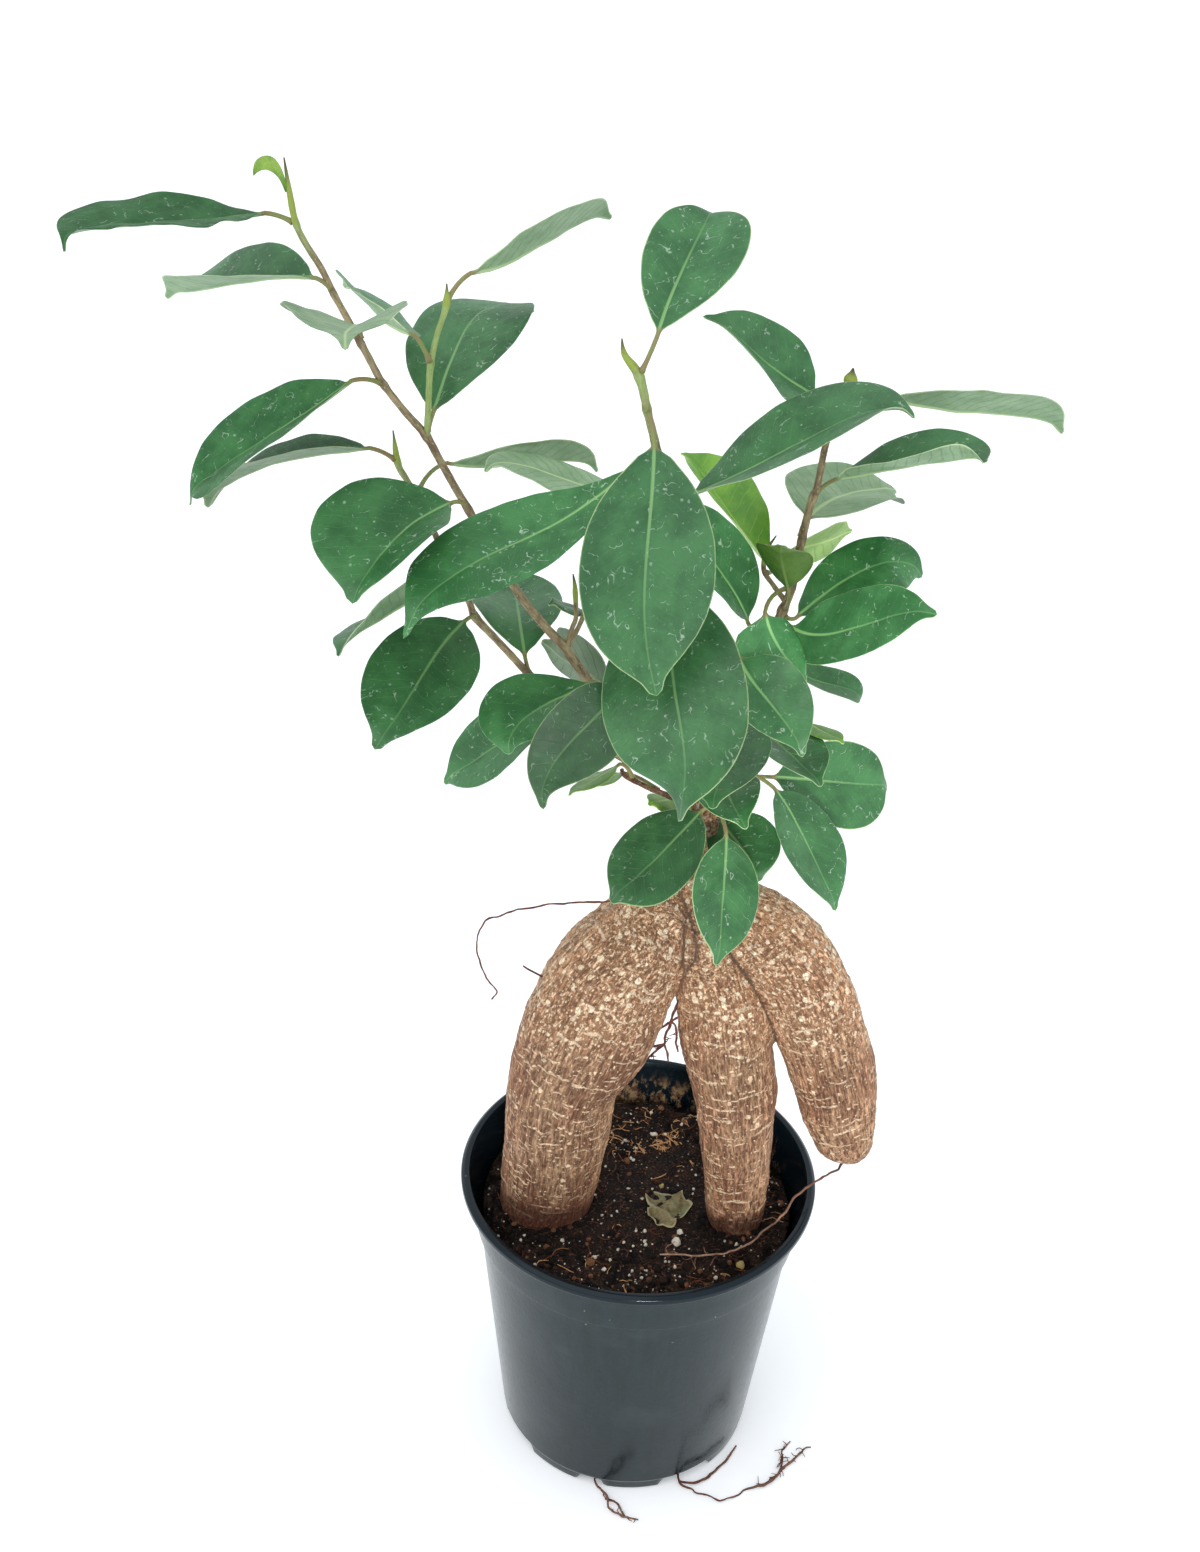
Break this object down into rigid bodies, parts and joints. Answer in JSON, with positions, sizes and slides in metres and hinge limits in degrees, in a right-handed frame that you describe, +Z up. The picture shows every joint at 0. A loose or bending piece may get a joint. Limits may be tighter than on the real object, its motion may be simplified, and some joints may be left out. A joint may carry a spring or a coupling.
{
  "type": "ficus ginseng bonsai in nursery pot",
  "caption": "Ficus ginseng bonsai with swollen arching roots and leafy grafted shoots, standing in its round black plastic nursery pot",
  "frame": {"origin": "centre of the pot's underside, on the ground it stands on", "axes": "+Z up, +X to the right seen from the front, the front of the plant faces -Y"},
  "size_m": [0.23, 0.1102, 0.3827],
  "materials": {
    "pot_plastic": "matt injection-moulded black plastic with a slight blue-green cast",
    "soil": null,
    "root_bark": "thin dry tan-brown bark with fine striations and pale speckles",
    "shoot_bark": "smooth young bark, brown at the foot and yellow-green towards the tips",
    "hair_root": "dry dark reddish-brown hair roots",
    "leaf_green": null,
    "leaf_young": null
  },
  "bodies": {
    "root": {"pot": "pot_plastic", "ginseng_root": "root_bark", "soil": "soil", "left_shoot": "shoot_bark", "centre_shoot": "shoot_bark", "right_shoot": "shoot_bark", "leaf_left_01": "leaf_green", "leaf_left_02": "leaf_green", "leaf_left_03": "leaf_green", "leaf_left_04": "leaf_green", "leaf_left_05": "leaf_green", "leaf_left_06": "leaf_green", "leaf_left_07": "leaf_green", "leaf_left_08": "leaf_green", "leaf_left_09": "leaf_green", "leaf_centre_01": "leaf_green", "leaf_left_10": "leaf_green", "leaf_left_11": "leaf_green", "leaf_left_12": "leaf_green", "leaf_left_13": "leaf_green", "leaf_centre_02": "leaf_green", "leaf_left_14": "leaf_green", "leaf_left_15": "leaf_green", "leaf_left_16": "leaf_green", "leaf_left_17": "leaf_green", "leaf_left_18": "leaf_green", "leaf_low_01": "leaf_young", "leaf_low_02": "leaf_young", "leaf_low_03": "leaf_young", "leaf_centre_03": "leaf_green", "leaf_centre_04": "leaf_green", "leaf_centre_05": "leaf_green", "leaf_right_01": "leaf_green", "leaf_centre_06": "leaf_green", "leaf_right_02": "leaf_green", "leaf_right_03": "leaf_green", "leaf_right_04": "leaf_green", "leaf_right_05": "leaf_young", "leaf_right_06": "leaf_green", "leaf_right_07": "leaf_young", "leaf_right_08": "leaf_young", "leaf_right_09": "leaf_green", "leaf_right_10": "leaf_green", "leaf_right_11": "leaf_green", "leaf_right_12": "leaf_young", "leaf_right_13": "leaf_green", "leaf_right_14": "leaf_young", "leaf_right_15": "leaf_green", "leaf_right_16": "leaf_green", "leaf_right_17": "leaf_green", "leaf_right_18": "leaf_green", "leaf_right_19": "leaf_green", "leaf_low_04": "leaf_green", "leaf_low_05": "leaf_green", "leaf_low_06": "leaf_green", "crown_hair_root": "hair_root", "tuber_end_hair_root": "hair_root", "arch_hair_roots": "hair_root", "drain_root_right": "hair_root", "drain_root_left": "hair_root"}
  },
  "joints": []
}
